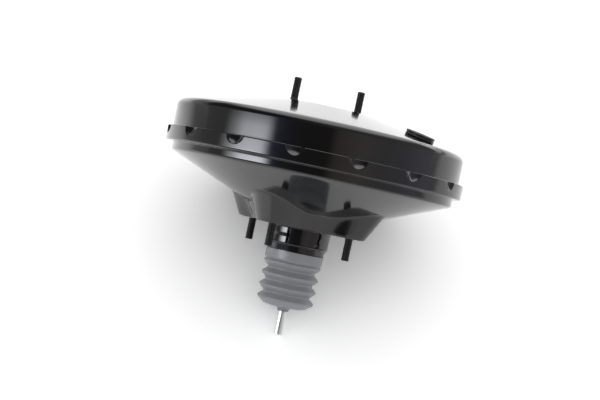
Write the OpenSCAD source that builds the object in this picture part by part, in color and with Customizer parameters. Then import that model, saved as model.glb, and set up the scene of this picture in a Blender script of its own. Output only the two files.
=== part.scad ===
// Vacuum brake booster with one diaphragm.
// The origin is the middle of the rear mounting face. +Z points to the master cylinder side,
// and the input rod leaves towards -Z. All lengths are in millimetres.

/* [Shells] */
// Thickness of the pressed steel sheet
sheet_t = 1.8; // [1.4:0.1:2.2]
// Outer radius of the rolled band that joins the shells
band_r = 151.2; // [140:0.5:160]
// Height of the rolled band
band_h = 14; // [12:0.5:18]
// Height of the band's lower edge above the rear mounting face
rim_z = 59; // [54:0.5:66]
// Gap between the outside of the front wall and the band's outer face
wall_inset = 4.8; // [4:0.1:6]
// Height of the front mounting face above the rear mounting face
front_z = 122.5; // [116:0.5:132]
// Slope of the front dome, in degrees
dome_a = 12.5; // [9:0.5:16]
// How far the flat at the middle of the dome reaches past the stud plate
flat_margin = 2; // [1:0.5:6]
// Bend radius of the front shoulder
shoulder_r = 7.5; // [5:0.5:12]
// Height between the rear cone's outer face and the diaphragm plate
cone_gap = 8.9; // [7:0.1:12]
// Gap between the outside of the rear step and the band's outer face
step_inset = 7.8; // [7:0.1:9]
// Height of the rear step
step_h = 8; // [6:0.5:10]

/* [Crimp] */
// Number of crimped lances round the band
lance_count = 16; // [12:1:20]
// Width of one lance
lance_w = 19; // [14:0.5:22]
// How far a lance is pressed in from the band's outer face
lance_in = 4.2; // [3.4:0.1:4.4]
// Height of a lance's centre above the band's top edge
lance_up = 1.6; // [1:0.1:3.5]
// Bearing of the first lance, in degrees
lance_a = -1.2; // [-11:0.1:11]

/* [Rear platform] */
// Side of the square on which the rear studs stand
stud_square = 80; // [76:0.5:86]
// Radius of the platform's lobes about the studs
lobe_r = 15; // [13:0.5:18]
// Width of the flat round the neck midway between two lobes
waist_margin = 16.2; // [13:0.1:20]
// How sharply the lobes stand out
lobe_power = 2.4; // [1.6:0.1:4]
// Draft of the platform's wall, in degrees
draft_a = 30; // [20:1:34]
// Radius round the edge of the mounting face
edge_r = 3.5; // [2:0.5:5]

/* [Neck] */
// Wall of the bearing between the neck and the valve body's tube
bearing_w = 10; // [8:0.5:12]
// Depth of the neck's wide part
neck_h = 18.5; // [16:0.5:22]
// How far the lip stands in from the neck
lip_inset = 2.8; // [2:0.1:4]
// Depth of the lip
lip_h = 6; // [4:0.5:8]
// How far the spigot that carries the boot stands in from the lip
spigot_inset = 1.7; // [1:0.1:2.4]
// Depth of the spigot
spigot_h = 7; // [6:0.5:10]
// Number of staked dimples round the neck
stake_count = 3; // [2:1:6]

/* [Studs] */
// Radius of the studs
stud_r = 4; // [3.5:0.25:5]
// Length of the rear studs past the mounting face
rear_stud_l = 22.4; // [18:0.2:30]
// Length of the front studs past the front face
front_stud_l = 25; // [20:0.5:32]
// Distance between the front studs
front_spacing = 68; // [60:0.5:80]
// Height of the collars at the foot of the front studs
collar_h = 2.6; // [1.5:0.1:4]
// How far a stud's shank stands out past its thread
shank_step = 0.4; // [0.3:0.05:0.6]
// How far a stud's head stands out past its thread
head_step = 2.5; // [2:0.1:4]
// Thickness of a stud's head
head_h = 3; // [2:0.5:4]
// Thickness of the stud plates inside the shells
plate_t = 3; // [2:0.5:4]

/* [Vacuum port] */
// Distance of the port's middle from the band's outer face
port_inset = 39.2; // [36:0.2:46]
// Bearing of the port about the axis, in degrees
port_a = -49; // [-60:1:-30]
// Width of the grommet's flange round its bore
grommet_w = 6.6; // [5.5:0.1:8]
// Height of the grommet above the shell
grommet_h = 4.6; // [3.5:0.1:6]
// Radius of the grommet's bore
grommet_bore = 8; // [6:0.5:9.5]

/* [Power piston] */
// Working stroke of the power piston
stroke = 32; // [28:0.5:34]
// Wall of the valve body's tube
tube_wall = 3; // [2.5:0.1:4]
// Width of the valve body's hub flange round its front boss
hub_w = 16; // [13:0.5:19]
// Height of the hub flange above the rear studs' heads
hub_gap = 6.1; // [4:0.1:8]
// Thickness of the hub flange
hub_t = 6; // [5:0.5:8]
// Wall of the front boss round the reaction disc
boss_wall = 15; // [12:0.5:17]
// Height of the front boss above the hub flange
boss_h = 24; // [20:0.5:28]
// Gap between the diaphragm plate's edge and the shell's wall
plate_gap = 13.6; // [11:0.2:18]
// Thickness of the diaphragm plate
dish_t = 1.5; // [1.2:0.1:2]
// Thickness of the diaphragm
rubber_t = 2; // [1.6:0.1:2.4]
// Radius of the output rod
out_r = 5; // [4:0.25:6]
// How far the output rod's tip stands above the front pocket's floor
out_tip = 8; // [4:0.5:11]
// Gap between the return spring and the front studs' heads
spring_gap = 5.3; // [3:0.1:7]
// Wire thickness of the return spring
spring_d = 3.6; // [3:0.1:4.2]
// Turns of the return spring
spring_turns = 6; // [4:1:8]

/* [Input side] */
// Radius of the input rod
rod_r = 4.3; // [4:0.1:5]
// Length of the rod's bare end past the boot
rod_free = 24.7; // [16:0.1:50]
// How far the rod's ball stands out past the rod
ball_step = 1.3; // [1:0.1:2]
// Wall of the plunger round the ball
ball_wall = 3.9; // [3:0.1:5]
// Room between the plunger and the tube's wall
valve_room = 7.5; // [6:0.1:9]
// Travel of the air valve plunger in the valve body
plunger_travel = 2; // [1:0.1:3]
// How far the boot's folds stand out past its sleeve
fold_out = 0.3; // [0:0.1:3]
// Gap between the boot's valleys and the tube
valley_gap = 1.8; // [1.4:0.1:4]
// Number of folds in the boot
fold_count = 4; // [3:1:6]
// Spacing of the folds
fold_pitch = 12.2; // [11:0.1:14]
// Thickness of the boot's rubber
boot_t = 1.6; // [1.2:0.1:2]

/* [Hidden] */
$fn = 96;
// Clearance between pieces that are fixed together, and between sliding ones
fit = 0.05;
slide_fit = 0.06;
rest_gap = 0.3;
soft_gap = 0.15;
// Circle resolution of bends
bend_n = 6;
// Length of a cutter that goes right through
through = 60;

// Rolled band and walls
band_top = rim_z + band_h;
step_r = band_r - step_inset;
wall_r = band_r - wall_inset;
cone_z = rim_z - step_h;
bead_t = 2.6;
bead_chamfer = 1.2;
flange_z = rim_z + sheet_t + bead_t + 2 * fit;
flange_r = band_r - sheet_t - 2 * fit;

// Rod, plunger, tube and neck, from the axis out
rod_shank_r = rod_r - 0.3;
rod_neck_r = rod_r - 0.7;
ball_r = rod_r + ball_step;
plunger_r = ball_r + ball_wall;
nose_step = 3.5;
nose_r = plunger_r - nose_step;
seat_step = 1.9;
seat_r = plunger_r + seat_step;
tube_bore = plunger_r + valve_room;
tube_r = tube_bore + tube_wall;
neck_r = tube_r + bearing_w + sheet_t;
lip_r = neck_r - lip_inset;
spigot_r = lip_r - spigot_inset;

// Neck
lip_z = -neck_h;
spigot_z = lip_z - lip_h;
neck_end_z = spigot_z - spigot_h;
seal_room = 6;
bearing_chamfer = 1.5;
bearing_top = 3;
seal_land = 1.6;
neck_flat = 6;
neck_cut = 2;
stake_a = -69;
stake_up = 3.2;
stake_r = 1.9;
stake_depth = 0.6;

// Plates and studs
inner_rear_z = sheet_t;
inner_front_z = front_z - sheet_t;
shank_r = stud_r + shank_step;
head_r = stud_r + head_step;
head_round = 0.6;
thread_chamfer = 0.9;
heads_z = inner_rear_z + plate_t + 2 * fit + head_h;
plate_rim = 0.6;
head_gap = 2.7;

// Front plate, spring and pocket that takes the master cylinder's nose
spring_r = front_spacing / 2 + head_r + spring_gap + spring_d / 2;
front_plate_r = spring_r + spring_d / 2 + plate_rim;
front_flat_r = front_plate_r + flat_margin;
dome_z = front_z - (wall_r - front_flat_r) * tan(dome_a);
pocket_r = front_spacing / 2 - head_r - head_gap - sheet_t;
pocket_h = 12.5;
pocket_z = front_z - pocket_h;
pocket_plate_gap = 1.4;
seal_w = 8;
seal_hole_r = out_r + seal_w;
seal_flange = 3;

// Vacuum port
port_r = band_r - port_inset;
grommet_r = grommet_bore + grommet_w;
grommet_seat = 3;
grommet_lip = 3.4;
grommet_edge = 0.6;
lip_clear = 0.3;

// Power piston at rest
hub_z = heads_z + hub_gap;
hub_top = hub_z + hub_t;
hub_neck = 4;
disc_step = 3.5;
disc_r = plunger_r + disc_step;
disc_t = 4;
boss_r = disc_r + boss_wall;
hub_r = boss_r + hub_w;
boss_z = hub_top + boss_h;
boss_chamfer = 1.5;
plate_z = hub_top + rubber_t + 2 * soft_gap;
plate_r = step_r - sheet_t - plate_gap;
seat_margin = 1;
plate_flat_r = spring_r + spring_d / 2 + seat_margin;
cone_slope = (cone_z - plate_z + cone_gap) / (step_r - plate_flat_r);
plate_rim_z = plate_z + (plate_r - plate_flat_r) * cone_slope;
plate_edge_h = 5;
vent_r = 4;
tube_spare = 2.5;
tube_end = spigot_z - stroke - tube_spare;
tube_chamfer = 0.8;
passage_r = 2.4;
passage_in = 2.5;
passage_up = 3;
out_head_t = 6;
out_head_round = 3;
disc_z = boss_z - disc_t - out_head_t - rest_gap;
out_head_z = disc_z + disc_t + fit;
spring_floor = plate_z + dish_t;
spring_ceiling = inner_front_z - plate_t;
cap_t = 1;
cap_h = 10;
cap_gap = 3.4;
cap_step = 0.4;
screw_step = 1.4;
screw_r = out_r - screw_step;
screw_bore = 14;
screw_head = 3;
screw_nose = 2;
screw_nose_r = 3;
out_end = pocket_z + out_tip - screw_head - screw_nose;

// Rear cone; its flat middle lies inside the platform
core_z = 9;
core_r = step_r - (cone_z - core_z) / cone_slope;

// Lances: each is a piece of a sphere that dents the band
lance_sphere = (pow(lance_w / 2, 2) + pow(lance_in, 2)) / (2 * lance_in);
lance_centre_r = band_r + lance_sphere - lance_in;
tongue_gap = 0.25;

// Platform
corner_r = stud_square / sqrt(2) + lobe_r;
waist_r = neck_r + waist_margin;
draft = tan(draft_a);
foot_flare = 2.2;
foot_h = 5;
platform_n = 96;
platform_spare = 15;
plate_margin = sheet_t + edge_r + 1.2;

// Plunger and the valve
ball_drop = 11;
ball_z = hub_z - ball_drop;
plunger_drop = 19;
plunger_end = hub_z - plunger_drop;
plunger_lead = 5;
seat_t = 1.6;
socket_w = 2.2;
waist_w = 1.5;
waist_drop = 0.6;
waist_rise = 4.4;
waist_land = 2.4;
key_inset = 2;
key_slot_z = hub_z + key_inset;
key_t = 3;
key_w = 6;
key_play = 1.1;
poppet_top = plunger_end - rest_gap;
poppet_r = tube_bore - rest_gap;
poppet_h = 10;
poppet_bore = rod_r + 3.2;
poppet_lip = 2.2;
poppet_wall = 2.6;
poppet_step = 1.2;
poppet_head = 5;
poppet_wire = 0.55;
retainer_z = poppet_top - poppet_h;
retainer_t = 1.2;
retainer_w = 6.4;
rod_wire = 0.8;
rod_coil = 4.4;
felt_t = 1.4;
felt_gap = 0.2;
filter_t = 9;
filter_room = 3.9;
filter_low = tube_end + felt_gap + felt_t;
filter_z = filter_low + filter_t;
spring_step_h = 3;
spring_step_w = 6;
spring_step_z = filter_z + 4;

// Boot
boot_grip_z = spigot_z - rest_gap;
sleeve_r = spigot_r + rest_gap + boot_t;
boot_r = sleeve_r + fold_out;
valley_r = tube_r + valley_gap;
groove_drop = 3.4;
groove_in = 1.9;
fold_drop = 2.4;
groove_z = neck_end_z - groove_drop;
first_fold_z = groove_z - fold_drop;
boot_tail = 8.4;
boot_end_z = first_fold_z - (fold_count - 1) * fold_pitch - boot_tail;
boot_collar_h = 3;
rod_end = rod_free + boot_collar_h - boot_end_z;
rod_chamfer = 1.1;

// Unit vector along v
function unit(v) = v / norm(v);

// Vector v turned a quarter turn to the left
function left(v) = [-v[1], v[0]];

// Points of an arc
function arc(c, r, a0, a1, n) =
    [for (i = [0:n]) c + r * [cos(a0 + (a1 - a0) * i / n), sin(a0 + (a1 - a0) * i / n)]];

// Arc that rounds the corner b between a and c
function corner(a, b, c, r, n) =
    let (u = unit(a - b), v = unit(c - b))
    let (half = acos(u * v) / 2)
    let (m = b + unit(u + v) * r / sin(half))
    let (p = b + u * r / tan(half) - m, q = b + v * r / tan(half) - m)
    let (a0 = atan2(p[1], p[0]), d = atan2(q[1], q[0]) - a0)
    let (turn = d > 180 ? d - 360 : d < -180 ? d + 360 : d)
    arc(m, r, a0, a0 + turn, n);

// Path whose inner corners are rounded by the radii in r, one for each corner
function rounded(path, r, n = bend_n) = [
    path[0],
    for (i = [1:len(path) - 2])
        each (r[i - 1] > 0 ? corner(path[i - 1], path[i], path[i + 1], r[i - 1], n) : [path[i]]),
    path[len(path) - 1]
];

// Path moved to its left by t
function moved(path, t) = [
    for (i = [0:len(path) - 1])
        let (a = unit(path[min(i + 1, len(path) - 1)] - path[min(i, len(path) - 2)]))
        let (b = unit(path[max(i, 1)] - path[max(i - 1, 0)]))
        path[i] + t * (left(a) + left(b)) / (1 + left(a) * left(b))
];

function reversed(path) = [for (i = [len(path) - 1:-1:0]) path[i]];

// Closed outline of a sheet that follows a path and lies t to its left
function sheet(path, t) = concat(path, reversed(moved(path, t)));

// Height of the rear cone's outer face at a radius
function cone_height(r) = cone_z - (step_r - r) * cone_slope;

// Radius of the platform's edge at a bearing: four lobes with hollow sides between them
function lobe(a) = waist_r + (corner_r - waist_r) * pow((1 - cos(4 * a)) / 2, lobe_power);

// Height at which the platform's wall meets the cone, for an edge of radius r
function foot_height(r) = cone_height(r) / (1 - draft * cone_slope);

platform_top = foot_height(corner_r) + platform_spare;

// Rear cone, step, flange and band, from the inside out
rear_path = rounded(
    [[core_r, cone_height(core_r)], [step_r, cone_z], [step_r, rim_z], [band_r, rim_z],
        [band_r, band_top]],
    [3, 1.2, 2]);

// Neck from the mounting face to its end
neck_path = rounded(
    [[neck_r + neck_flat, 0], [neck_r, 0], [neck_r, lip_z], [lip_r, lip_z], [lip_r, spigot_z],
        [spigot_r, spigot_z], [spigot_r, neck_end_z]],
    [1.2, sheet_t + 0.4, 0.3, 0, 0]);

// Front shell from the pocket's floor to the flange
front_path = rounded(
    [[seal_hole_r, pocket_z], [pocket_r, pocket_z], [pocket_r, front_z], [front_flat_r, front_z],
        [wall_r, dome_z], [wall_r, flange_z + sheet_t], [flange_r, flange_z + sheet_t]],
    [2, 3, 12, shoulder_r, 0.8]);

// Ring of points of the platform at one level; each level is given as [level, grow]
function platform_outer(a) =
    let (r = lobe(a), h = foot_height(lobe(a)), reach = lobe(a) + draft * foot_height(lobe(a)))
    [
        [r - edge_r, 0],
        [r - edge_r * 0.62, edge_r * 0.08],
        [r - edge_r * 0.29, edge_r * 0.29],
        [r - edge_r * 0.02, edge_r * 0.68],
        [r + draft * edge_r * 0.6, edge_r * 1.2],
        [r + draft * (h - foot_h), h - foot_h],
        [reach + foot_flare * 0.3, h - 2.2],
        [reach + foot_flare, h - 0.9],
        [reach + 3 * foot_flare, cone_height(reach + 3 * foot_flare) + 0.6 * sheet_t]
    ];

function platform_inner(a) =
    let (r = lobe(a) - 1.1 * sheet_t)
    [
        [r - edge_r * 0.8, sheet_t],
        [r - edge_r * 0.2, sheet_t + edge_r * 0.3],
        [r + draft * edge_r * 0.5, sheet_t + edge_r],
        [r + draft * (platform_top - sheet_t), platform_top]
    ];

// Closed solid whose sections are given by a list of [radius, height] for each bearing
module lobed_solid(sections, top_z) {
    levels = len(sections[0]);
    bearings = len(sections);
    points = concat(
        [for (k = [0:levels - 1]) for (i = [0:bearings - 1])
            let (p = sections[i][k], a = 360 * i / bearings)
            [p[0] * cos(a), p[0] * sin(a), p[1]]],
        [[0, 0, sections[0][0][1]], [0, 0, top_z]]);
    low = levels * bearings;
    faces = concat(
        [for (k = [0:levels - 2]) for (i = [0:bearings - 1]) for (half = [0, 1])
            let (j = (i + 1) % bearings, b = k * bearings, t = (k + 1) * bearings)
            half == 0 ? [b + i, t + i, b + j] : [b + j, t + i, t + j]],
        [for (i = [0:bearings - 1]) [low, i, (i + 1) % bearings]],
        [for (i = [0:bearings - 1])
            let (b = (levels - 1) * bearings)
            [low + 1, b + (i + 1) % bearings, b + i]]);
    polyhedron(points, faces);
}

// Tube of a spring: wire of radius w wound at radius r from z0 to z1
module coil(r, w, z0, z1, turns, per_turn = 20, sides = 8) {
    rest = 0.75;
    n = (turns + 2 * rest) * per_turn;
    span = z1 - z0 - 2 * w;
    lead = 2 * w + 0.15;
    points = [
        for (k = [0:n]) for (i = [0:sides - 1])
            let (t = k / per_turn, a = 360 * t, s = 360 * i / sides)
            let (f = t < rest ? t / rest * lead
                : t > turns + rest ? span - (turns + 2 * rest - t) / rest * lead
                : lead + (t - rest) / turns * (span - 2 * lead))
            let (q = r + w * cos(s))
            [q * cos(a), q * sin(a), z0 + w + f + w * sin(s)]
    ];
    faces = concat(
        [for (k = [0:n - 1]) for (i = [0:sides - 1]) for (half = [0, 1])
            let (j = (i + 1) % sides, b = k * sides, t = (k + 1) * sides)
            half == 0 ? [b + i, t + i, b + j] : [b + j, t + i, t + j]],
        [[for (i = [0:sides - 1]) i]],
        [[for (i = [sides - 1:-1:0]) n * sides + i]]);
    polyhedron(points, faces);
}

module ring(r_in, r_out, z0, z1) {
    rotate_extrude()
        polygon([[r_in, z0], [r_out, z0], [r_out, z1], [r_in, z1]]);
}

// Cylinder with chamfered ends from z0 to z1
module pin(r, z0, z1, c0 = 0, c1 = 0) {
    rotate_extrude()
        polygon([[0, z0], [r - c0, z0], [r, z0 + c0], [r, z1 - c1], [r - c1, z1], [0, z1]]);
}

module at_rear_studs() {
    for (x = [-1, 1])
        for (y = [-1, 1])
            translate([x * stud_square / 2, y * stud_square / 2, 0])
                children();
}

module at_front_studs() {
    for (x = [-1, 1])
        translate([x * front_spacing / 2, 0, 0])
            children();
}

// Places children on the dome's outer face at the port, with +Z along the face's normal
module at_port() {
    port_z = front_z - (port_r - front_flat_r) * tan(dome_a);
    rotate([0, 0, port_a])
        translate([port_r, 0, port_z])
            rotate([0, dome_a, 0])
                children();
}

module at_lances() {
    for (i = [0:lance_count - 1])
        rotate([0, 0, lance_a + 360 * i / lance_count])
            translate([lance_centre_r, 0, band_top + lance_up])
                children();
}

// Material pressed inwards by the lances, between the band and the front wall
module lance_tongues() {
    intersection() {
        at_lances()
            sphere(r = lance_sphere + sheet_t, $fn = 48);
        ring(wall_r + tongue_gap, band_r - 0.4 * sheet_t, flange_z + sheet_t + rest_gap, band_top);
    }
}

module rear_outside() {
    rotate_extrude()
        polygon(concat([[0, band_top], [0, cone_height(core_r)]], rear_path));
    lobed_solid([for (i = [0:platform_n - 1]) platform_outer(360 * i / platform_n)], platform_top);
}

module rear_inside() {
    inner = moved(rear_path, sheet_t);
    last = inner[len(inner) - 1];
    rotate_extrude()
        polygon(concat([[0, band_top + 1], [0, inner[0][1]]], inner, [[last[0], band_top + 1]]));
    lobed_solid([for (i = [0:platform_n - 1]) platform_inner(360 * i / platform_n)], platform_top);
}

module neck_tube() {
    rotate_extrude()
        polygon(sheet(neck_path, -sheet_t));
}

module rear_shell() {
    color("black")
        difference() {
            union() {
                difference() {
                    rear_outside();
                    rear_inside();
                    ring(0, neck_r + neck_cut, -1, 2 * sheet_t);
                }
                neck_tube();
                lance_tongues();
            }
            at_lances()
                sphere(r = lance_sphere, $fn = 48);
            at_rear_studs()
                cylinder(r = shank_r + fit, h = 4 * sheet_t, center = true);
            for (i = [0:stake_count - 1])
                rotate([0, 0, stake_a + 360 * i / stake_count])
                    translate([neck_r, 0, lip_z + stake_up])
                        rotate([0, 90, 0])
                            cylinder(r = stake_r, h = 2 * stake_depth, center = true);
            rotate_extrude()
                translate([neck_r, lip_z / 2])
                    rotate(45)
                        square(0.7, center = true);
        }
}

module front_shell() {
    color("black")
        difference() {
            rotate_extrude()
                polygon(sheet(front_path, -sheet_t));
            at_front_studs()
                translate([0, 0, front_z])
                    cylinder(r = shank_r + fit, h = 4 * sheet_t, center = true);
            at_port()
                cylinder(r = grommet_r - grommet_seat, h = 4 * sheet_t, center = true);
        }
}

module rear_stud_plate() {
    color("dimgray")
        translate([0, 0, inner_rear_z + fit])
            difference() {
                linear_extrude(plate_t)
                    polygon([for (a = [0:5:355]) (lobe(a) - plate_margin) * [cos(a), sin(a)]]);
                translate([0, 0, -1])
                    cylinder(r = neck_r + neck_cut, h = plate_t + 2);
                at_rear_studs()
                    translate([0, 0, -1])
                        cylinder(r = shank_r + fit, h = plate_t + 2);
            }
}

module rear_studs() {
    color("black")
        at_rear_studs()
            rotate_extrude()
                polygon([[0, -rear_stud_l], [stud_r - thread_chamfer, -rear_stud_l],
                    [stud_r, -rear_stud_l + thread_chamfer], [stud_r, 2 * fit], [shank_r, 2 * fit],
                    [shank_r, heads_z - head_h], [head_r, heads_z - head_h],
                    [head_r, heads_z - head_round], [head_r - head_round, heads_z],
                    [0, heads_z]]);
}

module front_stud_plate() {
    color("dimgray")
        difference() {
            ring(pocket_r + sheet_t + pocket_plate_gap, front_plate_r,
                inner_front_z - plate_t - fit, inner_front_z - fit);
            at_front_studs()
                translate([0, 0, inner_front_z])
                    cylinder(r = shank_r + fit, h = 3 * plate_t, center = true);
        }
}

module front_studs() {
    head_z = inner_front_z - plate_t - 2 * fit;
    tip_z = front_z + front_stud_l;
    color("black")
        at_front_studs()
            rotate_extrude()
                polygon([[0, head_z - head_h], [head_r - head_round, head_z - head_h],
                    [head_r, head_z - head_h + head_round], [head_r, head_z], [shank_r, head_z],
                    [shank_r, front_z + collar_h], [stud_r, front_z + collar_h],
                    [stud_r, tip_z - thread_chamfer], [stud_r - thread_chamfer, tip_z],
                    [0, tip_z]]);
}

module vacuum_grommet() {
    throat_r = grommet_r - grommet_seat - fit;
    half = grommet_h / 2;
    under = -sheet_t - lip_clear;
    low = under - grommet_lip;
    edge = grommet_edge;
    color("dimgray")
        at_port()
            rotate_extrude()
                polygon([[grommet_bore, grommet_h], [grommet_bore, low],
                    [throat_r + 2 * edge, low], [throat_r + 3 * edge, low + 2 * edge],
                    [throat_r + 3 * edge, under], [throat_r, under], [throat_r, soft_gap],
                    [grommet_r - edge, soft_gap], [grommet_r, soft_gap + edge],
                    [grommet_r, half - edge / 2], [grommet_r - edge, half],
                    [grommet_r, half + edge / 2], [grommet_r, grommet_h - edge],
                    [grommet_r - edge, grommet_h]]);
}

module front_seal() {
    groove_r = seal_hole_r - fit;
    low = pocket_z - sheet_t - fit;
    color("black")
        rotate_extrude()
            polygon([[out_r + slide_fit, low - seal_flange],
                [seal_hole_r + seal_flange, low - seal_flange], [seal_hole_r + seal_flange, low],
                [groove_r, low], [groove_r, pocket_z + fit], [seal_hole_r + seal_land, pocket_z + fit],
                [seal_hole_r + seal_land, pocket_z + seal_land],
                [out_r + seal_flange, pocket_z + 1.4 * seal_land],
                [out_r + slide_fit, pocket_z + seal_land]]);
}

module neck_bearing() {
    low = lip_z + seal_room;
    r_out = neck_r - sheet_t - fit;
    color("ivory")
        rotate_extrude()
            polygon([[tube_r + slide_fit, low], [lip_r - sheet_t, low],
                [r_out, low + bearing_chamfer], [r_out, -bearing_top],
                [tube_r + slide_fit, -bearing_top]]);
}

module neck_seal() {
    top = lip_z + seal_room - fit;
    low = spigot_z + sheet_t + fit;
    r_in = tube_r + slide_fit;
    r_out = lip_r - sheet_t - fit;
    land = seal_land;
    color("black")
        rotate_extrude()
            polygon([[r_in, top], [r_in, top - land], [tube_r + land, top - 1.5 * land],
                [tube_r + land, low + 1.5 * land], [r_in, low + land], [r_in, low], [r_out, low],
                [r_out, top]]);
}

module valve_body() {
    slot_w = key_w + 1;
    step_z = key_slot_z + key_t + hub_neck;
    color("saddlebrown")
        difference() {
            rotate_extrude()
                polygon([[tube_bore, tube_end], [tube_r - tube_chamfer, tube_end],
                    [tube_r, tube_end + tube_chamfer], [tube_r, hub_z - hub_neck],
                    [tube_r + hub_neck, hub_z], [hub_r, hub_z], [hub_r, hub_top],
                    [boss_r, hub_top], [boss_r, boss_z - boss_chamfer],
                    [boss_r - boss_chamfer, boss_z], [disc_r + fit, boss_z],
                    [disc_r + fit, disc_z], [nose_r + slide_fit, disc_z],
                    [nose_r + slide_fit, step_z], [plunger_r + slide_fit, step_z],
                    [plunger_r + slide_fit, plunger_end + plunger_lead],
                    [tube_bore, plunger_end + plunger_lead / 2]]);
            translate([0, -slot_w / 2, key_slot_z])
                cube([2 * hub_r, slot_w, key_t]);
            for (i = [1:5])
                rotate([0, 0, 60 * i])
                    translate([tube_bore - passage_in, 0, hub_z + passage_up])
                        cylinder(r = passage_r, h = through);
        }
}

module diaphragm_plate() {
    path = rounded(
        [[boss_r + fit, plate_z], [plate_flat_r, plate_z], [plate_r, plate_rim_z],
            [plate_r, plate_rim_z + plate_edge_h]],
        [4, 3]);
    color("silver")
        difference() {
            rotate_extrude()
                polygon(sheet(path, dish_t));
            for (i = [0:7])
                rotate([0, 0, 22.5 + 45 * i])
                    translate([(plate_flat_r + plate_r) / 2 - vent_r, 0, plate_z])
                        cylinder(r = vent_r, h = through * 2, center = true);
        }
}

module diaphragm() {
    carried = moved(
        [[boss_r + fit, plate_z], [plate_flat_r, plate_z],
            [plate_r + 0.9, plate_rim_z + 0.9 * cone_slope]],
        -soft_gap);
    bead_z = rim_z + sheet_t + fit;
    bead_r = step_r - sheet_t - 0.6;
    bead_in = 1.6;
    path = rounded(
        concat(carried, [[plate_r + 0.55 * plate_gap, plate_rim_z - 1], [bead_r, bead_z + rubber_t],
            [flange_r - bead_chamfer, bead_z + rubber_t]]),
        [4, 1.6, 3.4, 2.2]);
    color("black")
        union() {
            rotate_extrude()
                polygon(sheet(path, -rubber_t));
            rotate_extrude()
                polygon([[bead_r + bead_in, bead_z], [flange_r - bead_chamfer, bead_z],
                    [flange_r, bead_z + bead_chamfer], [flange_r, flange_z - fit],
                    [bead_r + bead_in, flange_z - fit]]);
        }
}

module return_spring() {
    color("silver")
        coil(spring_r, spring_d / 2, spring_floor + fit, spring_ceiling - 2 * fit, spring_turns);
}

module spring_retainer() {
    path = rounded(
        [[out_r + cap_gap, boss_z + fit], [boss_r + cap_step, boss_z + fit],
            [boss_r + cap_step, boss_z - cap_h]],
        [boss_chamfer]);
    color("silver")
        rotate_extrude()
            polygon(sheet(path, cap_t));
}

module reaction_disc() {
    color("black")
        pin(disc_r - fit, disc_z + fit, disc_z + disc_t, rest_gap, rest_gap);
}

module output_rod() {
    head_top = out_head_z + out_head_t;
    color("silver")
        rotate_extrude()
            polygon([[0, out_head_z], [disc_r - fit, out_head_z],
                [disc_r - fit, head_top - boss_chamfer], [disc_r - boss_chamfer, head_top],
                [out_r + out_head_round, head_top], [out_r, head_top + out_head_round],
                [out_r, out_end - head_round], [out_r - head_round, out_end],
                [screw_r + fit, out_end], [screw_r + fit, out_end - screw_bore],
                [0, out_end - screw_bore]]);
}

module output_screw() {
    head_w = out_r * 1.7;
    color("silver") {
        translate([0, 0, out_end + fit])
            cylinder(r = head_w / 2 / cos(30), h = screw_head, $fn = 6);
        pin(screw_r, out_end - screw_bore + 1, out_end + screw_head / 2);
        translate([0, 0, out_end + screw_head - fit])
            intersection() {
                pin(screw_nose_r, 0, screw_nose + fit);
                sphere(r = 1.1 * screw_nose_r);
            }
    }
}

module stop_key() {
    inner = nose_r - waist_w;
    color("gray")
        translate([0, 0, key_slot_z + fit])
            difference() {
                translate([-plunger_r + 1, -key_w / 2, 0])
                    cube([hub_r - 2 + plunger_r, key_w, key_t - key_play]);
                translate([0, 0, -1])
                    cylinder(r = inner, h = key_t + 2);
                translate([-plunger_r - 1, -inner, -1])
                    cube([plunger_r + 1, 2 * inner, key_t + 2]);
            }
}

module valve_plunger() {
    waist = nose_r - waist_w - rest_gap;
    waist_low = key_slot_z - waist_drop - waist_land;
    waist_top = key_slot_z - waist_drop + waist_rise;
    nose_z = disc_z - plunger_travel - 0.4;
    low = plunger_end;
    color("gold")
        difference() {
            rotate_extrude()
                polygon([[0, low], [seat_r, low], [seat_r, low + seat_t],
                    [plunger_r - 1, low + 2 * seat_t], [plunger_r - 1, low + plunger_lead - 1],
                    [plunger_r, low + plunger_lead], [plunger_r, waist_low], [waist, waist_low],
                    [waist, waist_top], [nose_r, waist_top], [nose_r, nose_z], [0, nose_z]]);
            translate([0, 0, ball_z])
                sphere(r = ball_r + slide_fit);
            translate([0, 0, plunger_end - 1])
                cylinder(r1 = rod_r + socket_w, r2 = rod_r + socket_w / 3, h = ball_z - plunger_end);
        }
}

module poppet_valve() {
    color("black")
        rotate_extrude()
            polygon([[poppet_bore, poppet_top - poppet_lip], [poppet_bore, poppet_top],
                [poppet_r - poppet_step, poppet_top],
                [poppet_r - poppet_step, poppet_top - poppet_head],
                [poppet_r, poppet_top - poppet_head], [poppet_r, retainer_z + fit],
                [poppet_r - poppet_wall, retainer_z + fit],
                [poppet_r - poppet_wall, poppet_top - poppet_lip]]);
}

module poppet_spring() {
    color("silver")
        coil(poppet_r - poppet_wall - 3 * poppet_wire, poppet_wire, retainer_z + fit,
            poppet_top - poppet_lip - fit, 3, 16, 6);
}

module poppet_retainer() {
    color("silver")
        ring(poppet_r - retainer_w, poppet_r + 0.2, retainer_z - retainer_t, retainer_z);
}

module rod_spring() {
    color("silver")
        coil(rod_r + rod_coil, rod_wire, spring_step_z + fit, retainer_z - retainer_t - fit, 4, 16, 6);
}

module spring_step() {
    hole_r = rod_neck_r + fit;
    hub = hole_r + 1.5 * retainer_t;
    low = spring_step_z - spring_step_h;
    edge_z = spring_step_z - retainer_t;
    color("silver")
        rotate_extrude()
            polygon([[hole_r, low], [hub, low], [hub, edge_z], [rod_r + spring_step_w, edge_z],
                [rod_r + spring_step_w, spring_step_z], [hole_r, spring_step_z]]);
}

module air_filter() {
    color("dimgray")
        ring(rod_r + filter_room, tube_bore - rest_gap, filter_low, filter_z);
}

module silencer() {
    color("gray")
        ring(rod_r + filter_room, tube_bore - rest_gap, tube_end + felt_gap, filter_low - fit);
}

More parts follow.
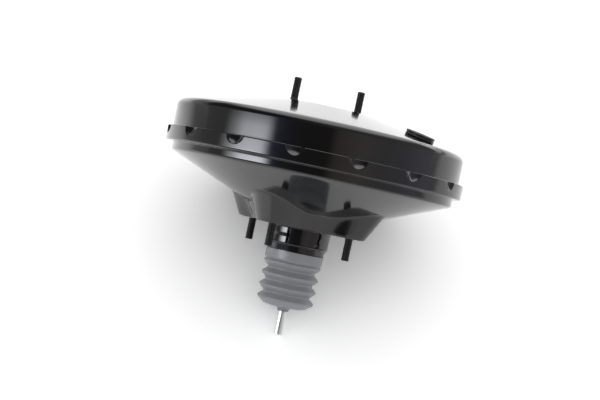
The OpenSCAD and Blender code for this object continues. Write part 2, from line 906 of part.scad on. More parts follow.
module input_rod() {
    shoulder_z = spring_step_z - spring_step_h - fit;
    free_z = boot_end_z - boot_collar_h - 0.8;
    color("gainsboro") {
        translate([0, 0, ball_z])
            sphere(r = ball_r);
        rotate_extrude()
            polygon([[0, -rod_end], [rod_r - rod_chamfer, -rod_end], [rod_r, -rod_end + rod_chamfer],
                [rod_r, free_z], [rod_shank_r, free_z + 0.3], [rod_shank_r, shoulder_z],
                [rod_neck_r, shoulder_z], [rod_neck_r, ball_z], [0, ball_z]]);
    }
}

module dust_boot() {
    tip_round = boot_t + 0.3;
    valley = valley_r + boot_t;
    collar = rod_shank_r + soft_gap + boot_t;
    folds = [for (i = [0:fold_count - 1])
        each [[boot_r + 0.3 * tip_round, first_fold_z - i * fold_pitch],
            if (i < fold_count - 1) [valley, first_fold_z - (i + 0.52) * fold_pitch]]];
    tail = [[boot_r - 8.5, boot_end_z + 2.6], [collar + 3.6, boot_end_z + 0.4],
        [collar, boot_end_z - 0.4], [collar, boot_end_z - boot_collar_h]];
    path = rounded(
        concat([[sleeve_r, boot_grip_z], [sleeve_r, groove_z + 1.7], [sleeve_r - groove_in, groove_z]],
            folds, tail),
        concat([tip_round, 0.6],
            [for (i = [0:fold_count - 1]) each (i < fold_count - 1 ? [tip_round, 1.2] : [tip_round])],
            [4, 2, 0.6]),
        4);
    color("slategray")
        rotate_extrude()
            polygon(sheet(path, -boot_t));
}

rear_shell();
front_shell();
rear_stud_plate();
rear_studs();
front_stud_plate();
front_studs();
vacuum_grommet();
front_seal();
neck_seal();
neck_bearing();
valve_body();
diaphragm_plate();
diaphragm();
return_spring();
spring_retainer();
reaction_disc();
output_rod();
output_screw();
stop_key();
poppet_valve();
poppet_spring();
poppet_retainer();
rod_spring();
spring_step();
air_filter();
silencer();
valve_plunger();
input_rod();
dust_boot();
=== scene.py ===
import bmesh
import bpy
import math
from mathutils import Matrix, Vector


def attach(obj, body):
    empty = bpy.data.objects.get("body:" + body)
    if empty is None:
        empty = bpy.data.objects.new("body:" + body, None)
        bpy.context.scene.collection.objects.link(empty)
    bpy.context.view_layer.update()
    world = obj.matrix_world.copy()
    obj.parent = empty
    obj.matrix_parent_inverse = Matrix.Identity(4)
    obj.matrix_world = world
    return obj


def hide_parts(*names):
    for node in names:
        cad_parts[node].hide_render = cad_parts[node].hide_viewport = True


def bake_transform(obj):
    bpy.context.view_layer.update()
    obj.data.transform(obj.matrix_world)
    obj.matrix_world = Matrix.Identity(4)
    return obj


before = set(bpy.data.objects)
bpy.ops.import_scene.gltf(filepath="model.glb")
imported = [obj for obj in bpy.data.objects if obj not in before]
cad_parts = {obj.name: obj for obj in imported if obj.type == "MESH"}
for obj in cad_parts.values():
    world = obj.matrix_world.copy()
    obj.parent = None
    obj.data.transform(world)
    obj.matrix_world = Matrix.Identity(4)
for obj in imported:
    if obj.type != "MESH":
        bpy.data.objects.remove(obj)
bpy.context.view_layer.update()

MM = 0.001
# bearing of the photographed side about the part's axis
PHOTO_TURN = math.radians(-16.0)


def unit(v):
    n = math.hypot(*v)
    return (v[0] / n, v[1] / n)


def corner(a, b, c, r, n):
    """Points of the arc of radius r that rounds the corner b between a and c."""
    u, v = unit((a[0] - b[0], a[1] - b[1])), unit((c[0] - b[0], c[1] - b[1]))
    half = math.acos(max(-1.0, min(1.0, u[0] * v[0] + u[1] * v[1]))) / 2
    w = unit((u[0] + v[0], u[1] + v[1]))
    m = (b[0] + w[0] * r / math.sin(half), b[1] + w[1] * r / math.sin(half))
    k = r / math.tan(half)
    p = (b[0] + u[0] * k - m[0], b[1] + u[1] * k - m[1])
    q = (b[0] + v[0] * k - m[0], b[1] + v[1] * k - m[1])
    a0 = math.atan2(p[1], p[0])
    turn = (math.atan2(q[1], q[0]) - a0 + math.pi) % (2 * math.pi) - math.pi
    return [(m[0] + r * math.cos(a0 + turn * i / n), m[1] + r * math.sin(a0 + turn * i / n))
            for i in range(n + 1)]


def rounded(path, radii, n=8):
    """The path with its inner corners rounded; a radius may come with its own number of steps."""
    out = [path[0]]
    for i in range(1, len(path) - 1):
        r = radii[i - 1]
        steps = n
        if isinstance(r, tuple):
            r, steps = r
        out += corner(path[i - 1], path[i], path[i + 1], r, steps) if r > 0 else [path[i]]
    return out + [path[-1]]


def moved(path, t):
    """The path moved to its left by t."""
    out = []
    for i, p in enumerate(path):
        a0, a1 = path[min(i, len(path) - 2)], path[min(i + 1, len(path) - 1)]
        b0, b1 = path[max(i - 1, 0)], path[max(i, 1)]
        a, b = unit((a1[0] - a0[0], a1[1] - a0[1])), unit((b1[0] - b0[0], b1[1] - b0[1]))
        la, lb = (-a[1], a[0]), (-b[1], b[0])
        k = t / (1 + la[0] * lb[0] + la[1] * lb[1])
        out.append((p[0] + k * (la[0] + lb[0]), p[1] + k * (la[1] + lb[1])))
    return out


def sheet(path, t):
    """Closed outline of a sheet of thickness t along the path."""
    return path + moved(path, t)[::-1]


def spread(path, step):
    """The path with points added so that none of its legs is longer than step."""
    out = [path[0]]
    for a, b in zip(path, path[1:]):
        n = max(1, math.ceil(math.hypot(b[0] - a[0], b[1] - a[1]) / step))
        out += [(a[0] + (b[0] - a[0]) * i / n, a[1] + (b[1] - a[1]) * i / n) for i in range(1, n + 1)]
    return out


def make(name, verts, faces, sharp):
    """Smooth object from points in millimetres, with edges kept sharp above an angle in degrees."""
    mesh = bpy.data.meshes.new(name)
    mesh.from_pydata([(x * MM, y * MM, z * MM) for x, y, z in verts], [], faces)
    mesh.update()
    mesh.polygons.foreach_set("use_smooth", [True] * len(mesh.polygons))
    mesh.set_sharp_from_angle(angle=math.radians(sharp))
    obj = bpy.data.objects.new(name, mesh)
    bpy.context.scene.collection.objects.link(obj)
    return obj


def rings(loops):
    """Faces between neighbouring loops of equal length; the loops and their row are closed."""
    n, m = len(loops), len(loops[0])
    faces = []
    for i in range(n):
        j = (i + 1) % n
        for k in range(m):
            q = (k + 1) % m
            faces.append((i * m + k, j * m + k, j * m + q, i * m + q))
    return faces


def lathe(name, outline, steps, sharp):
    """Closed outline of (r, z) points turned about the axis; points on the axis are shared."""
    verts, index = [], []
    for r, z in outline:
        if r == 0:
            index.append([len(verts)] * steps)
            verts.append((0.0, 0.0, z))
            continue
        index.append(list(range(len(verts), len(verts) + steps)))
        for i in range(steps):
            a = 2 * math.pi * i / steps
            verts.append((r * math.cos(a), r * math.sin(a), z))
    faces = []
    m = len(outline)
    for k in range(m):
        p, q = index[k], index[(k + 1) % m]
        for i in range(steps):
            j = (i + 1) % steps
            face = []
            for v in (p[i], p[j], q[j], q[i]):
                if v not in face:
                    face.append(v)
            if len(face) > 2:
                faces.append(tuple(face))
    return make(name, verts, faces, sharp)


def outside_out(obj):
    """Turns the faces of a closed mesh outwards."""
    bm = bmesh.new()
    bm.from_mesh(obj.data)
    bmesh.ops.recalc_face_normals(bm, faces=bm.faces)
    bm.to_mesh(obj.data)
    bm.free()
    obj.data.update()


# rear shell, in millimetres: the sheet it is pressed from, then radii, and heights along the axis
SHEET = 1.8
BAND_R, BAND_TOP, RIM_Z = 151.2, 73.0, 59.0
STEP_R, CONE_Z, WALL_R = 143.4, 51.0, 146.4
NECK_R, LIP_R, SPIGOT_R = 31.8, 29.0, 27.3
LIP_Z, SPIGOT_Z, NECK_END = -18.5, -24.5, -31.5
CORNER_R, WAIST_R, LOBE_POWER = 71.57, 48.0, 1.7
# the cone's rise over its radius, and the platform's gain in radius over its height
SLOPE = math.tan(math.radians(22.0))
DRAFT = math.tan(math.radians(30.0))
# bends of its outline from the spigot to the band's lower edge, as a radius and its steps
REAR_BENDS = [0, (0.8, 4), (0.5, 3), (2.2, 7), (1.5, 5), (3.5, 8), (9.0, 9), (3.0, 7), (1.2, 5), (2.0, 6)]
# the neck narrows over a short length below its middle, and has staked dimples at three bearings
DRAW_Z, DRAW_LONG, DRAW_IN = -6.4, 4.6, 0.45
STAKES, STAKE_Z, STAKE_R, STAKE_DEEP = (-69, 51, 171), -15.0, 2.4, 0.9
# lances: spheres that dent the band down to a lowest height
LANCES, LANCE_TURN, LANCE_LOW = 16, -1.2, 64.0
LANCE_HALF, LANCE_DEEP = 9.5, 4.2
LANCE_S = (LANCE_HALF ** 2 + LANCE_DEEP ** 2) / (2 * LANCE_DEEP)
LANCE_C = BAND_R + LANCE_S - LANCE_DEEP
LANCE_Z = BAND_TOP + 1.6
SECTOR = 360.0 / LANCES
# heights of the points inside a lance
LANCE_BACK = (70.5, 67.5)
# a point this near to the neck's radius or the rear face lies on it, and the same for the band
TOUCH, BAND_TOUCH = 0.01, 0.3
# pieces that the outline's legs are cut into on the band, neck, cone, platform's wall and rear face
BAND_STEPS, NECK_STEPS, CONE_STEPS, WALL_STEPS, FACE_STEPS = 20, 26, 10, 6, 3
# front shell: mounting face, flat, pocket, bore and flange
DOME = math.radians(12.5)
FACE_Z, FLAT_R = 122.5, 52.0
POCKET_Z, POCKET_R, BORE_R = 110.0, 23.0, 13.0
FLANGE_Z, FLANGE_R = 63.5, 149.3


def lobe(a):
    """Radius of the platform's edge at a bearing."""
    return WAIST_R + (CORNER_R - WAIST_R) * ((1 - math.cos(4 * a)) / 2) ** LOBE_POWER


def cone_height(r):
    """Height of the cone at a radius."""
    return CONE_Z - (STEP_R - r) * SLOPE


def foot_height(r):
    """Height at which the platform's drafted wall meets the cone, for the wall that starts at r."""
    return cone_height(r) / (1 - DRAFT * SLOPE)


def lance_radius(a, z):
    """Radius of the band's outer face at a bearing and height, dented by the nearest lance."""
    sector = math.radians(SECTOR)
    a -= math.radians(LANCE_TURN)
    off = a - round(a / sector) * sector
    c = LANCE_C * math.cos(off)
    d = c * c - LANCE_C ** 2 - (z - LANCE_Z) ** 2 + LANCE_S ** 2
    return min(BAND_R, c - math.sqrt(d)) if d > 0 else BAND_R


def rear_bearings():
    """Bearings of the rear shell's outlines in degrees, close together over each lance."""
    half, step, coarse = 4.2, 0.3, 10
    out = []
    for i in range(LANCES):
        mid = SECTOR * i + LANCE_TURN
        out += [mid - half + step * k for k in range(round(2 * half / step))]
        out += [mid + half + (SECTOR - 2 * half) * k / coarse for k in range(coarse)]
    return sorted(b % 360 for b in out)


def leg_steps(p, q, foot):
    """Number of pieces that a leg of the rear shell's outline is cut into, by where it lies."""
    short, near, long = 5.0, 8.0, 12.0
    leg = math.hypot(q[0] - p[0], q[1] - p[1])
    if min(p[0], q[0]) > BAND_R - BAND_TOUCH:
        return BAND_STEPS
    if max(abs(p[0] - NECK_R), abs(q[0] - NECK_R)) < TOUCH and leg > short:
        return NECK_STEPS
    if p[0] > foot[0] - near and q[0] < STEP_R and q[1] > p[1] > short and leg > long:
        return CONE_STEPS
    if p[0] > NECK_R + short and p[1] > 1 and 2 < q[1] < foot[1]:
        return WALL_STEPS
    if max(abs(p[1]), abs(q[1])) < TOUCH:
        return FACE_STEPS
    return 1


def neck_radius(deg, z):
    """Radius of the neck at a bearing and height, drawn in and staked."""
    drawn = max(0.0, min(1.0, (DRAW_Z - z) / DRAW_LONG))
    r = NECK_R - DRAW_IN * drawn * drawn * (3 - 2 * drawn)
    for s in STAKES:
        arc = math.radians((deg - s + 180) % 360 - 180) * NECK_R
        d = math.hypot(arc, z - STAKE_Z)
        if d < STAKE_R:
            r -= STAKE_DEEP * (0.5 + 0.5 * math.cos(math.pi * d / STAKE_R))
    return r


def rear_loop(deg):
    """Closed outline of the rear shell's sheet at a bearing."""
    a = math.radians(deg)
    r = lobe(a)
    h = foot_height(r)
    foot = (r + DRAFT * h, h)
    path = [(SPIGOT_R, NECK_END), (SPIGOT_R, SPIGOT_Z), (LIP_R, SPIGOT_Z), (LIP_R, LIP_Z), (NECK_R, LIP_Z),
            (NECK_R, 0.0), (r, 0.0), foot, (STEP_R, CONE_Z), (STEP_R, RIM_Z), (BAND_R, RIM_Z),
            (BAND_R, BAND_TOP)]
    bent = rounded(path, REAR_BENDS)
    outer = [bent[0]]
    for p, q in zip(bent, bent[1:]):
        n = leg_steps(p, q, foot)
        outer += [(p[0] + (q[0] - p[0]) * i / n, p[1] + (q[1] - p[1]) * i / n) for i in range(1, n + 1)]
    shaped = []
    for rr, z in outer:
        if rr > BAND_R - BAND_TOUCH and z > LANCE_LOW:
            rr = min(rr, lance_radius(a, z))
        elif abs(rr - NECK_R) < TOUCH and z < -1:
            rr = neck_radius(deg, z)
        shaped.append((rr, z))
    top = shaped[-1][0]
    half = SHEET / 2
    lip = [(top - half + half * math.cos(math.radians(v)), BAND_TOP + half * math.sin(math.radians(v)))
           for v in range(20, 180, 20)]
    inner = [(top - SHEET, BAND_TOP)]
    inner += [(lance_radius(a, z) - SHEET, z) for z in LANCE_BACK]
    inner += moved(path[:-1] + [(BAND_R, LANCE_LOW)], SHEET)[::-1]
    return shaped + lip + inner


def rear_shell():
    bearings = rear_bearings()
    loops = [rear_loop(b) for b in bearings]
    verts = [(r * math.cos(math.radians(b)), r * math.sin(math.radians(b)), z)
             for b, loop in zip(bearings, loops) for r, z in loop]
    return make("rear_shell_skin", verts, rings(loops), 35)


def dome_height(r):
    """Height of the dome at a radius, on the line that its rounding touches."""
    return FACE_Z - (r - FLAT_R) * math.tan(DOME)


def front_shell():
    path = rounded([(BORE_R, POCKET_Z), (POCKET_R, POCKET_Z), (POCKET_R, FACE_Z), (FLAT_R, FACE_Z),
                    (WALL_R, dome_height(WALL_R)), (WALL_R, FLANGE_Z + SHEET),
                    (FLANGE_R, FLANGE_Z + SHEET)], [2, 3, 12, (7.5, 18), 0.8])
    return lathe("front_shell_skin", sheet(spread(path, 12.0), -SHEET), 256, 50)


# studs: radii of the thread, shank, head, tip and the head's edge; the thread's pitch and depth; the
# sides of the mesh and its rows to a turn; half the distance between neighbouring studs
STUD_R, SHANK_R, HEAD_R, TIP_R, EDGE_R = 4.0, 4.4, 6.5, 3.0, 5.9
PITCH, THREAD_DEEP, STUD_SIDES, THREAD_ROWS = 1.25, 0.6, 28, 6
REAR_HALF, FRONT_HALF = 40.0, 34.0
rear_places = [(x * REAR_HALF, y * REAR_HALF) for x in (-1, 1) for y in (-1, 1)]
front_places = [(x * FRONT_HALF, 0.0) for x in (-1, 1)]


def studs(name, places, before, threads, after):
    """Threaded studs; before and after are (z, r) outlines on each side of the thread."""
    low, high = threads
    rows = round((high - low) / PITCH * THREAD_ROWS)
    line = [(z, r, 0.0) for z, r in before]
    line += [(low + (high - low) * k / rows, STUD_R, 1.0) for k in range(rows + 1)]
    line += [(z, r, 0.0) for z, r in after]
    verts, faces = [], []
    for cx, cy in places:
        base = len(verts)
        for z, r, threaded in line:
            fade = threaded * max(0.0, min(1.0, (z - low) / PITCH, (high - z) / PITCH))
            for i in range(STUD_SIDES):
                a = 2 * math.pi * i / STUD_SIDES
                phase = (z / PITCH - i / STUD_SIDES) % 1.0
                rr = r - THREAD_DEEP * fade * (1 - abs(2 * phase - 1))
                verts.append((cx + rr * math.cos(a), cy + rr * math.sin(a), z))
        for k in range(len(line) - 1):
            for i in range(STUD_SIDES):
                j = (i + 1) % STUD_SIDES
                p, q = base + k * STUD_SIDES, base + (k + 1) * STUD_SIDES
                faces.append((p + i, p + j, q + j, q + i))
        last = base + (len(line) - 1) * STUD_SIDES
        faces.append(tuple(base + i for i in range(STUD_SIDES - 1, -1, -1)))
        faces.append(tuple(last + i for i in range(STUD_SIDES)))
    return make(name, verts, faces, 50)


# boot: bellows, and the tail that rides on the rod
BOOT_T, TAIL_T = 1.6, 1.5
FOLD_TOP, FOLD_PITCH, FOLDS = -37.3, 12.2, 4
FOLD_R, VALLEY_R, VALLEY_SHARE = 30.0, 23.1, 0.52


def bellows_outline():
    path = [(29.2, -24.8), (29.2, -33.4), (27.4, -35.0)]
    radii = [(1.9, 5), (0.7, 4)]
    for i in range(FOLDS):
        path.append((FOLD_R, FOLD_TOP - i * FOLD_PITCH))
        radii.append((1.9, 7))
        if i < FOLDS - 1:
            path.append((VALLEY_R, FOLD_TOP - (i + VALLEY_SHARE) * FOLD_PITCH))
            radii.append((1.7, 6))
    path += [(21.4, -80.2), (15.2, -81.2)]
    radii.append((4, 5))
    return sheet(rounded(path, radii), -BOOT_T)


def tail_outline():
    path = rounded([(20.4, -79.0), (14.2, -79.7), (9.4, -82.0), (5.9, -82.8), (5.9, -85.4)],
                   [(2, 4), (1.5, 4), (0.6, 4)])
    return sheet(path, -TAIL_T)


ROD_END = -110.0


def rod_outline():
    """Push rod from its blunt tip to the ball at its other end."""
    ball_z, ball_r, shaft_r, neck_r, steps = 2.9, 5.6, 4.3, 3.6, 12
    out = [(0.0, ROD_END), (3.0, ROD_END), (3.55, -109.75), (shaft_r, -108.9), (shaft_r, -86.1),
           (4.0, -85.8), (4.0, -34.0), (neck_r, -34.0)]
    start = -math.acos(neck_r / ball_r)
    out += [(ball_r * math.cos(start + (math.pi / 2 - start) * i / steps),
             ball_z + ball_r * math.sin(start + (math.pi / 2 - start) * i / steps)) for i in range(steps)]
    return out + [(0.0, ball_z + ball_r)]


# place of the port on the dome: distance from the axis and bearing
PORT_R, PORT_TURN = 112.0, math.radians(-49.0)


def grommet():
    bore, r, h, seat, foot, bead = 8.0, 14.6, 4.6, 11.55, -5.5, 13.4
    outline = [(bore + 0.5, h), (bore, h - 0.5), (bore, foot), (12.8, foot), (bead, -4.3), (bead, -2.1),
               (seat, -2.1), (seat, 0.15), (r - 0.6, 0.15), (r - 0.2, 0.3), (r, 0.75), (r, 1.5),
               (r - 0.25, 1.85), (r - 0.85, 2.05), (r - 0.85, 2.45), (r - 0.25, 2.65), (r, 3.0), (r, 3.9),
               (r - 0.2, 4.4), (r - 0.7, h)]
    obj = lathe("grommet_ring", outline, 96, 30)
    obj.data.transform(Matrix.Rotation(PORT_TURN, 4, "Z")
                       @ Matrix.Translation(Vector((PORT_R, 0, dome_height(PORT_R))) * MM)
                       @ Matrix.Rotation(DOME, 4, "Y"))
    return obj


def stand_for(obj, body, *nodes):
    """Puts a finer rigid piece in the place of nodes, with the look of the first."""
    outside_out(obj)
    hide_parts(*nodes)
    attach(obj, body)
    obj.data.materials.append(LOOKS[nodes[0]])


def copy_of(node):
    """Copy of a node's mesh, in the node's place."""
    obj = bpy.data.objects.new(node + "_soft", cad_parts[node].data.copy())
    bpy.context.scene.collection.objects.link(obj)
    obj.data.materials.clear()
    obj.data.materials.append(LOOKS[node])
    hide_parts(node)
    return obj


class Tree:
    """Short names for making the nodes of one material."""

    def __init__(self, mat):
        self.nodes = mat.node_tree.nodes
        self.links = mat.node_tree.links

    def put(self, socket, value):
        if isinstance(value, bpy.types.NodeSocket):
            self.links.new(value, socket)
        else:
            socket.default_value = value

    def add(self, kind, **options):
        node = self.nodes.new("ShaderNode" + kind)
        for key, value in options.items():
            setattr(node, key, value)
        return node

    def math(self, kind, a, b=0.0):
        node = self.add("Math", operation=kind)
        self.put(node.inputs[0], a)
        self.put(node.inputs[1], b)
        return node.outputs[0]

    def span(self, value, low, high, to_low=0.0, to_high=1.0, smooth=False):
        node = self.add("MapRange", interpolation_type="SMOOTHSTEP" if smooth else "LINEAR")
        for key, v in (("Value", value), ("From Min", low), ("From Max", high), ("To Min", to_low),
                       ("To Max", to_high)):
            self.put(node.inputs[key], v)
        return node.outputs[0]

    def ramp(self, value, low, high, stops):
        """Level or colour that follows stops of (place, level) or (place, red, green, blue)."""
        node = self.add("ValToRGB")
        self.put(node.inputs["Fac"], self.span(value, low, high))
        marks = node.color_ramp.elements
        marks.remove(marks[1])
        places = [(stop[0] - low) / (high - low) for stop in stops]
        marks[0].position = places[0]
        for place in places[1:]:
            marks.new(place)
        for mark, stop in zip(marks, stops):
            mark.color = (*(stop[1:] * 3)[:3], 1.0)
        return node.outputs["Color"]

    def mix(self, kind, fac, a, b):
        node = self.add("Mix", data_type="RGBA", blend_type=kind, clamp_factor=False)
        self.put(node.inputs[0], fac)
        self.put(node.inputs[6], a)
        self.put(node.inputs[7], b)
        return node.outputs[2]

    def place(self):
        """Where the shaded point lies on its object, as x, y and z in metres."""
        split = self.add("SeparateXYZ")
        self.put(split.inputs[0], self.add("TexCoord").outputs["Object"])
        return split.outputs

    def shown(self):
        """1 for rays that see the surface, straight, mirrored or through glass, and 0 for others."""
        rays = self.add("LightPath").outputs
        return self.math("MAXIMUM", self.math("MAXIMUM", rays["Is Camera Ray"], rays["Is Glossy Ray"]),
                         rays["Is Transmission Ray"])


def new_material(name):
    mat = bpy.data.materials.new(name)
    mat.use_nodes = True
    return mat, Tree(mat)


# grain of the gloss: its noise, the part of the noise's range that counts, and how far the gloss goes
GRAIN_SCALE, GRAIN_DETAIL, GRAIN_LOW, GRAIN_HIGH, GRAIN = 140.0, 3.0, 0.3, 0.7, 0.15


def paint(name, colour, rough, metal=0.0, spec=0.5):
    """Surface of one colour whose gloss is a little uneven."""
    mat, t = new_material(name)
    shader = t.nodes["Principled BSDF"]
    shader.inputs["Base Color"].default_value = (*colour, 1.0)
    shader.inputs["Roughness"].default_value = rough
    shader.inputs["Metallic"].default_value = metal
    shader.inputs["Specular IOR Level"].default_value = spec
    noise = t.add("TexNoise")
    noise.inputs["Scale"].default_value = GRAIN_SCALE
    noise.inputs["Detail"].default_value = GRAIN_DETAIL
    t.put(noise.inputs["Vector"], t.add("TexCoord").outputs["Object"])
    gloss = t.span(noise.outputs[0], GRAIN_LOW, GRAIN_HIGH, rough * (1 - GRAIN), rough * (1 + GRAIN))
    t.put(shader.inputs["Roughness"], gloss)
    return mat


black_paint = paint("black_paint", (0.003, 0.003, 0.0034), 0.1)
black_zinc = paint("black_zinc", (0.012, 0.012, 0.012), 0.4, spec=0.35)
bright_zinc = paint("bright_zinc", (0.7, 0.76, 0.73), 0.32, metal=1.0)
grey_rubber = paint("grey_rubber", (0.24, 0.252, 0.27), 0.38)
black_rubber = paint("black_rubber", (0.02, 0.02, 0.02), 0.5)
moulding = paint("moulding", (0.04, 0.04, 0.04), 0.45)
foam = paint("foam", (0.10, 0.10, 0.11), 0.95)
felt = paint("felt", (0.55, 0.53, 0.48), 0.95)

# nodes that aren't named here are bright zinc
LOOKS = {
    "rear_shell": black_paint, "front_shell": black_paint,
    "rear_studs": black_zinc, "front_studs": black_zinc,
    "rear_stud_plate": black_zinc, "front_stud_plate": black_zinc,
    "dust_boot": grey_rubber, "vacuum_grommet": black_rubber,
    "input_rod": bright_zinc, "air_filter": foam, "silencer": felt,
    "valve_body": moulding, "diaphragm": black_rubber,
    "return_spring": black_zinc, "rod_spring": bright_zinc,
}
for name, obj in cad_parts.items():
    obj.data.materials.clear()
    obj.data.materials.append(LOOKS.get(name, bright_zinc))

stand_for(rear_shell(), "housing", "rear_shell")
stand_for(front_shell(), "housing", "front_shell")
stand_for(studs("rear_stud_set", rear_places, [(-22.4, TIP_R), (-21.4, STUD_R)], (-21.4, -0.6),
                [(-0.2, STUD_R), (0.1, STUD_R), (0.1, SHANK_R), (4.9, SHANK_R), (4.9, HEAD_R),
                 (7.3, HEAD_R), (7.9, EDGE_R)]),
          "housing", "rear_studs")
stand_for(studs("front_stud_set", front_places, [(114.6, EDGE_R), (115.2, HEAD_R), (117.6, HEAD_R),
                (117.6, SHANK_R), (124.7, SHANK_R), (125.1, STUD_R)], (125.6, 146.5), [(147.5, TIP_R)]),
          "housing", "front_studs")
stand_for(grommet(), "housing", "vacuum_grommet")
stand_for(lathe("push_rod", rod_outline(), 64, 30), "input_rod", "input_rod")
bellows = lathe("bellows", bellows_outline(), 160, 60)
outside_out(bellows)
bellows.data.materials.append(grey_rubber)
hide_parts("dust_boot")
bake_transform(bellows)
stand_for(lathe("boot_tail", tail_outline(), 96, 60), "input_rod", "dust_boot")
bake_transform(copy_of("return_spring"))
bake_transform(copy_of("diaphragm"))
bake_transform(copy_of("rod_spring"))

# the camera stands square to the axis and is rolled about its view; the view's frame has x to the
# right, y away from the camera and z along the part's axis
CAMERA_UP, CAMERA_ROLL = math.radians(-0.11), math.radians(11.95)
CAMERA_AIM, CAMERA_AWAY = Vector((-5.98, 0.0, 27.51)), 1311.8
turn = Matrix.Rotation(PHOTO_TURN, 3, "Z")
back = turn @ Vector((0.0, -math.cos(CAMERA_UP), math.sin(CAMERA_UP)))
right = turn @ Vector((1.0, 0.0, 0.0))
up = back.cross(right)
right_rolled = right * math.cos(CAMERA_ROLL) + up * math.sin(CAMERA_ROLL)
up_rolled = up * math.cos(CAMERA_ROLL) - right * math.sin(CAMERA_ROLL)
camera_data = bpy.data.cameras.new("camera")
camera_data.lens = 78.06
camera_data.sensor_width = 36.0
camera_data.clip_start = 0.01
camera_data.clip_end = 20.0
camera = bpy.data.objects.new("camera", camera_data)
bpy.context.scene.collection.objects.link(camera)
pose = Matrix((right_rolled, up_rolled, back)).transposed().to_4x4()
pose.translation = (turn @ CAMERA_AIM + back * CAMERA_AWAY) * MM
camera.matrix_world = pose
bpy.context.scene.camera = camera


def in_view(name, verts, faces, mat):
    """Object of the studio, made from points in the view's frame and in millimetres."""
    mesh = bpy.data.meshes.new(name)
    mesh.from_pydata([tuple(v * MM) for v in verts], [], faces)
    mesh.materials.append(mat)
    obj = bpy.data.objects.new(name, mesh)
    bpy.context.scene.collection.objects.link(obj)
    obj.matrix_world = turn.to_4x4()
    return obj


# the world is white where it is seen, and a soft sky elsewhere
SKY = 0.83
world = bpy.data.worlds.new("studio")
bpy.context.scene.world = world
world.use_nodes = True
t = Tree(world)
sky = t.nodes["Background"]
sky.inputs["Color"].default_value = (1, 1, 1, 1)
t.put(sky.inputs["Strength"], t.span(t.shown(), 0.0, 1.0, SKY, 1.0))

# The white of the table is overexposed where it is seen or mirrored. What the dome mirrors of it is
# brighter still, and so is what the cone mirrors on the left. Its far ends are dim in the paint.
TABLE_WHITE, TABLE_GAIN, FAR_GAIN, LEFT_GAIN, ENDS = 0.93, 0.56, 0.6, 0.75, 0.42
# where these change, as places in metres along x or z of the view's frame
FAR_Z, LEFT_X, LEFT_Z = (0.10, 0.26), (-0.08, -0.25), (0.12, 0.06)
LEFT_END, RIGHT_END = (-0.8, -0.42), (0.8, 1.5)


def white_table():
    mat, t = new_material("white_table")
    t.nodes.clear()
    matt = t.add("BsdfDiffuse")
    cover = t.add("MixShader")
    x, y, z = t.place()
    mirrored = t.add("LightPath").outputs["Is Glossy Ray"]
    far = t.math("MULTIPLY", t.span(z, *FAR_Z, 0.0, FAR_GAIN, smooth=True), mirrored)
    left = t.math("MULTIPLY", t.span(x, *LEFT_X, 0.0, LEFT_GAIN, smooth=True), t.span(z, *LEFT_Z))
    ends = t.math("MULTIPLY", t.span(x, *LEFT_END, ENDS, 1.0, smooth=True),
                  t.span(x, *RIGHT_END, 1.0, ENDS, smooth=True))
    white = t.math("ADD", t.math("MULTIPLY", t.shown(), TABLE_GAIN), TABLE_WHITE)
    white = t.math("ADD", white, far)
    white = t.math("ADD", white, t.math("MULTIPLY", left, mirrored))
    fade = t.math("MULTIPLY", t.math("SUBTRACT", 1.0, ends), mirrored)
    t.put(matt.inputs["Color"], t.math("MULTIPLY", white, t.math("SUBTRACT", 1.0, fade)))
    # from behind, the table is clear
    t.put(cover.inputs["Fac"], t.add("NewGeometry").outputs["Backfacing"])
    t.put(cover.inputs[1], matt.outputs[0])
    t.put(cover.inputs[2], t.add("BsdfTransparent").outputs[0])
    t.put(t.add("OutputMaterial").inputs["Surface"], cover.outputs[0])
    return mat


# the table passes under the far rim and the rod's tip
TABLE_REACH, TABLE_GAP, TIP_SIDE = 4000.0, 0.4, 3.2
rim_point = Vector((0.0, BAND_R, RIM_Z))
tip_point = Vector((0.0, TIP_SIDE, ROD_END))
along = (rim_point - tip_point).normalized()
table_up = Vector((0.0, -along.z, along.y))
origin = tip_point - table_up * TABLE_GAP
corners = [origin + Vector((sx * TABLE_REACH, 0, 0)) + along * (sy * TABLE_REACH)
           for sx, sy in ((-1, -1), (1, -1), (1, 1), (-1, 1))]
table = in_view("table", corners, [(0, 1, 2, 3)], white_table())

# what the paint mirrors round the camera: (bearing from the camera in degrees, red, green, blue)
ROOM = [(-180, 3.2, 3.2, 3.2), (-160, 3.2, 3.2, 3.2), (-151, 2.9, 2.9, 2.9), (-134, 1.85, 1.85, 1.85),
        (-118, 0.6, 0.6, 0.6), (-100, 0.48, 0.48, 0.48), (-84, 0.48, 0.46, 0.45), (-68, 0.48, 0.46, 0.46),
        (-44, 0.5, 0.5, 0.6), (-34, 0.3, 0.33, 0.5), (-24, 0.14, 0.14, 0.22), (-10, 0.1, 0.1, 0.1),
        (8, 0.11, 0.1, 0.09), (14, 0.45, 0.38, 0.33), (33, 0.66, 0.6, 0.57), (50, 0.54, 0.52, 0.52),
        (67, 0.55, 0.52, 0.6), (83, 0.66, 0.63, 0.75), (98, 0.6, 0.6, 0.66), (118, 2.3, 2.3, 2.4),
        (134, 4.0, 4.0, 4.0), (151, 3.9, 3.9, 3.9), (165, 3.2, 3.2, 3.2), (180, 3.2, 3.2, 3.2)]
# share of a tall soft box over its bearings, and its level at heights on the room's wall in metres
BAR = [(-75, 0.0), (-66, 0.35), (-58, 0.85), (-48, 1.0), (-40, 0.95), (-33, 0.0)]
BAR_LEVEL = [(-0.42, 0.0), (-0.3, 12.0), (0.0, 14.0), (0.12, 13.0), (0.16, 8.5), (0.23, 7.2), (0.28, 4.9),
             (0.36, 3.4), (0.5, 0.0)]
BAR_TINT, BAR_LOW, BAR_HIGH = (0.96, 1.0, 1.07), -0.5, 0.5
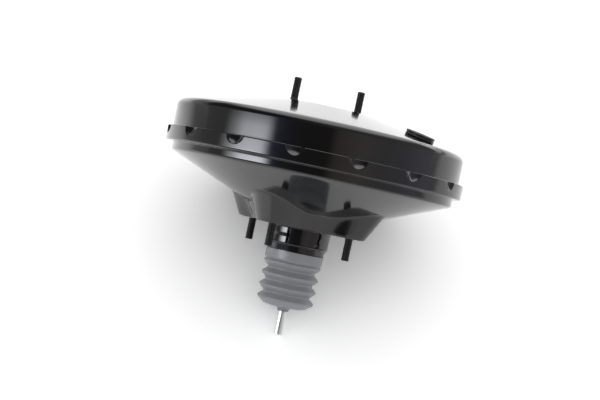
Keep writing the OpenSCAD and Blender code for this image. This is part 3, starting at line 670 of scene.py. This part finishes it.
# heights in degrees up to which the front and the back of the room are lit, the width of the soft edge
# there, and the bearings over which the front passes into the back
FRONT_LIMIT, BACK_LIMIT, SOFT = 10.0, 44.0, 9.0
FRONT_TO, BACK_FROM = 95.0, 125.0
# what is above the lit walls by bearing, and a panel overhead with the heights over which it begins
ABOVE = [(-180, 0.12), (-30, 0.12), (0, 0.25), (20, 0.4), (60, 0.5), (180, 0.4)]
PANEL, PANEL_LOW, PANEL_HIGH = 3.0, 44.0, 62.0
ROOM_R, ROOM_SIDES, ROOM_ROWS = 3200.0, 48, 24


def room_light():
    """Glow of the studio by bearing and height about the part's axis."""
    mat, t = new_material("room_light")
    t.nodes.clear()
    emit = t.add("Emission")
    x, y, z = t.place()
    degree = 180.0 / math.pi
    around = (-180.0, 180.0)
    bearing = t.math("MULTIPLY", t.math("ARCTAN2", x, t.math("MULTIPLY", y, -1.0)), degree)
    height = t.math("MULTIPLY", t.math("ARCSINE", t.math("DIVIDE", z, ROOM_R * MM)), degree)
    bar = t.mix("MULTIPLY", 1.0, t.ramp(bearing, *around, BAR), t.ramp(z, BAR_LOW, BAR_HIGH, BAR_LEVEL))
    bar = t.mix("MULTIPLY", 1.0, bar, (*BAR_TINT, 1.0))
    lit = t.mix("ADD", 1.0, t.ramp(bearing, *around, ROOM), bar)
    behind = t.span(t.math("ABSOLUTE", bearing), FRONT_TO, BACK_FROM, smooth=True)
    limit = t.span(behind, 0.0, 1.0, FRONT_LIMIT, BACK_LIMIT)
    over = t.mix("MIX", t.span(height, PANEL_LOW, PANEL_HIGH, smooth=True),
                 t.ramp(bearing, *around, ABOVE), (PANEL, PANEL, PANEL, 1.0))
    above = t.span(height, limit, t.math("ADD", limit, SOFT), smooth=True)
    t.put(emit.inputs["Color"], t.mix("MIX", above, lit, over))
    t.put(t.add("OutputMaterial").inputs["Surface"], emit.outputs[0])
    return mat


def toward(bearing, height, dist):
    """Point of the view's frame at a bearing from the camera, a height and a distance."""
    return Vector((dist * math.sin(bearing) * math.cos(height),
                   -dist * math.cos(bearing) * math.cos(height),
                   dist * math.sin(height)))


# the room is a ball cut off by the table, and is only seen in reflections
verts = [toward(2 * math.pi * i / ROOM_SIDES, math.radians(-90 + 180 * j / ROOM_ROWS), ROOM_R)
         for j in range(ROOM_ROWS + 1) for i in range(ROOM_SIDES)]
faces = []
for j in range(ROOM_ROWS):
    for i in range(ROOM_SIDES):
        a, b = j * ROOM_SIDES + i, j * ROOM_SIDES + (i + 1) % ROOM_SIDES
        face = (a, b, b + ROOM_SIDES, a + ROOM_SIDES)
        if sum((verts[k] for k in face), Vector()).normalized().dot(table_up) > -0.02:
            faces.append(face)
room = in_view("room", verts, faces, room_light())
room.visible_camera = False
room.visible_diffuse = False
room.visible_shadow = False
room.visible_volume_scatter = False

# soft box to the left of the camera
KEY, KEY_WIDE, KEY_TALL = 0.35, 560.0, 1500.0
KEY_BEARING, KEY_HEIGHT, KEY_AWAY = math.radians(-47), math.radians(4), 1500.0
KEY_AIM = Vector((0.0, 0.0, 60.0))
key_data = bpy.data.lights.new("key", "AREA")
key_data.shape = "RECTANGLE"
key_data.size = KEY_WIDE * MM
key_data.size_y = KEY_TALL * MM
key_data.energy = KEY * math.pi * key_data.size * key_data.size_y
key = bpy.data.objects.new("key", key_data)
bpy.context.scene.collection.objects.link(key)
key_at = toward(KEY_BEARING, KEY_HEIGHT, KEY_AWAY)
facing = (KEY_AIM - key_at).to_track_quat("-Z", "Y").to_matrix().to_4x4()
key.matrix_world = turn.to_4x4() @ Matrix.Translation(key_at * MM) @ facing
key.visible_camera = False
key.visible_glossy = False
bpy.context.scene.view_settings.view_transform = "Standard"
